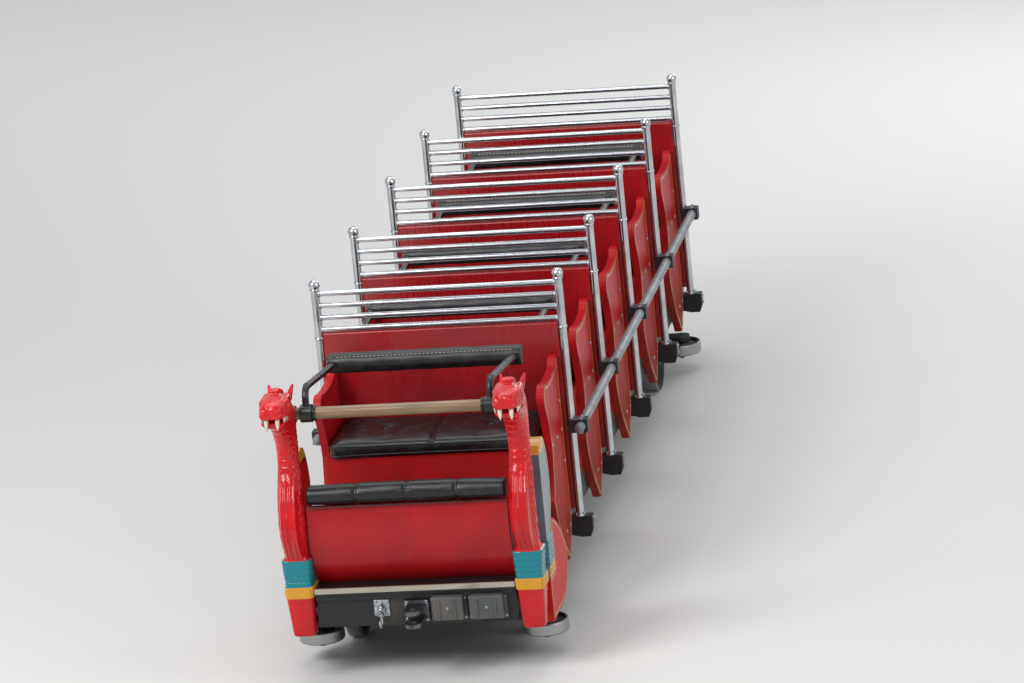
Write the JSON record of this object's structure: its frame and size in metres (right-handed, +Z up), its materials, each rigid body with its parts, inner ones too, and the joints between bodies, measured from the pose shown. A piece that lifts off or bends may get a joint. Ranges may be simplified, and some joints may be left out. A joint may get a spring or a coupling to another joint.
{
  "type": "side-friction roller coaster car",
  "caption": "Open side-friction coaster car: ladder-backed benches with lap bars on a steel underframe, rolled dash between carved figureheads, guide wheels.",
  "frame": {"origin": "on the rail plane under the middle of the car's box", "axes": "+Z up, +Y towards the tail, +X to the right of the picture (the riders' left)"},
  "size_m": [1.092, 4.818, 1.318],
  "materials": {
    "underframe_black": "satin black paint",
    "cast_box": "rough cast, oiled",
    "deck_plank": "worn oiled planks",
    "sill_wood": "pale painted nosing",
    "dash_red": "gloss red enamel on bent ply",
    "black_vinyl": "black vinyl, stuffed",
    "carved_red": "carved wood, gloss red enamel, teal and gold bands",
    "blue_grey_paint": "blue-grey enamel with gold edge lines",
    "bench_red": "red enamel with cream edge lines",
    "back_red": "red enamel",
    "tan_wood": "varnished hardwood, hand worn",
    "bright_steel": "polished tube",
    "rail_grey": "silver grey paint",
    "clamp_dark": "dark casting",
    "lap_black": "black paint on tube, padded cross bar",
    "forged_steel": "forged, greased",
    "wheel_iron": "cast, rolled bright at the tread"
  },
  "bodies": {
    "car": {"chassis_frame": "underframe_black", "cross_bearers": "underframe_black", "axle_boxes": "cast_box", "guide_brackets": "underframe_black", "floor_deck": "deck_plank", "dash_sill": "sill_wood", "nose_dash": "dash_red", "dash_pad": "black_vinyl", "figurehead_left": "carved_red", "figurehead_right": "carved_red", "nose_posts": "blue_grey_paint", "nose_cheeks": "bench_red", "grab_bar": "tan_wood", "bench_1": "bench_red", "bench_2": "bench_red", "bench_3": "bench_red", "bench_4": "bench_red", "bench_5": "bench_red", "seat_cushions": "black_vinyl", "seat_back_1": "back_red", "seat_back_2": "back_red", "seat_back_3": "back_red", "seat_back_4": "back_red", "seat_back_5": "back_red", "ladder_1": "bright_steel", "ladder_2": "bright_steel", "ladder_3": "bright_steel", "ladder_4": "bright_steel", "ladder_5": "bright_steel", "side_rails": "rail_grey", "rail_clamps": "clamp_dark", "front_clevis": "forged_steel", "drawbar_rear": "forged_steel"},
    "lap_bar_1": {"lap_bar_1": "lap_black"},
    "lap_bar_2": {"lap_bar_2": "lap_black"},
    "lap_bar_3": {"lap_bar_3": "lap_black"},
    "lap_bar_4": {"lap_bar_4": "lap_black"},
    "lap_bar_5": {"lap_bar_5": "lap_black"},
    "wheelset_front": {"wheelset_front": "wheel_iron"},
    "wheelset_rear": {"wheelset_rear": "wheel_iron"},
    "guide_wheel_fl": {"guide_wheel_fl": "wheel_iron"},
    "guide_wheel_fr": {"guide_wheel_fr": "wheel_iron"},
    "guide_wheel_rl": {"guide_wheel_rl": "wheel_iron"},
    "guide_wheel_rr": {"guide_wheel_rr": "wheel_iron"},
    "chain_dog": {"chain_dog": "forged_steel"},
    "rollback_pawl": {"rollback_pawl": "forged_steel"}
  },
  "joints": [
    {"name": "front_wheels", "type": "hinge", "parent": "car", "child": "wheelset_front", "pos_m": [0, -1.671, 0.155], "axis": [1, 0, 0], "continuous": true},
    {"name": "rear_wheels", "type": "hinge", "parent": "car", "child": "wheelset_rear", "pos_m": [0, 1.609, 0.155], "axis": [1, 0, 0], "continuous": true},
    {"name": "guide_fl", "type": "hinge", "parent": "car", "child": "guide_wheel_fl", "pos_m": [-0.435, -1.963, 0.108], "axis": [0, 0, 1], "continuous": true},
    {"name": "guide_fr", "type": "hinge", "parent": "car", "child": "guide_wheel_fr", "pos_m": [0.435, -1.963, 0.108], "axis": [0, 0, 1], "continuous": true},
    {"name": "guide_rl", "type": "hinge", "parent": "car", "child": "guide_wheel_rl", "pos_m": [-0.435, 1.901, 0.108], "axis": [0, 0, 1], "continuous": true},
    {"name": "guide_rr", "type": "hinge", "parent": "car", "child": "guide_wheel_rr", "pos_m": [0.435, 1.901, 0.108], "axis": [0, 0, 1], "continuous": true},
    {"name": "lap_1", "type": "hinge", "parent": "car", "child": "lap_bar_1", "pos_m": [0, -2.189, 1.045], "axis": [1, 0, 0], "range_deg": [0, 85]},
    {"name": "lap_2", "type": "hinge", "parent": "car", "child": "lap_bar_2", "pos_m": [0, -1.213, 1.045], "axis": [1, 0, 0], "range_deg": [0, 80]},
    {"name": "lap_3", "type": "hinge", "parent": "car", "child": "lap_bar_3", "pos_m": [0, -0.393, 1.045], "axis": [1, 0, 0], "range_deg": [0, 80]},
    {"name": "lap_4", "type": "hinge", "parent": "car", "child": "lap_bar_4", "pos_m": [0, 0.427, 1.045], "axis": [1, 0, 0], "range_deg": [0, 80]},
    {"name": "lap_5", "type": "hinge", "parent": "car", "child": "lap_bar_5", "pos_m": [0, 1.247, 1.045], "axis": [1, 0, 0], "range_deg": [0, 80]},
    {"name": "dog_swing", "type": "hinge", "parent": "car", "child": "chain_dog", "pos_m": [0, -0.771, 0.198], "axis": [1, 0, 0], "range_deg": [-35, 60]},
    {"name": "pawl_lift", "type": "hinge", "parent": "car", "child": "rollback_pawl", "pos_m": [0, -0.351, 0.198], "axis": [1, 0, 0], "range_deg": [0, 40]}
  ]
}
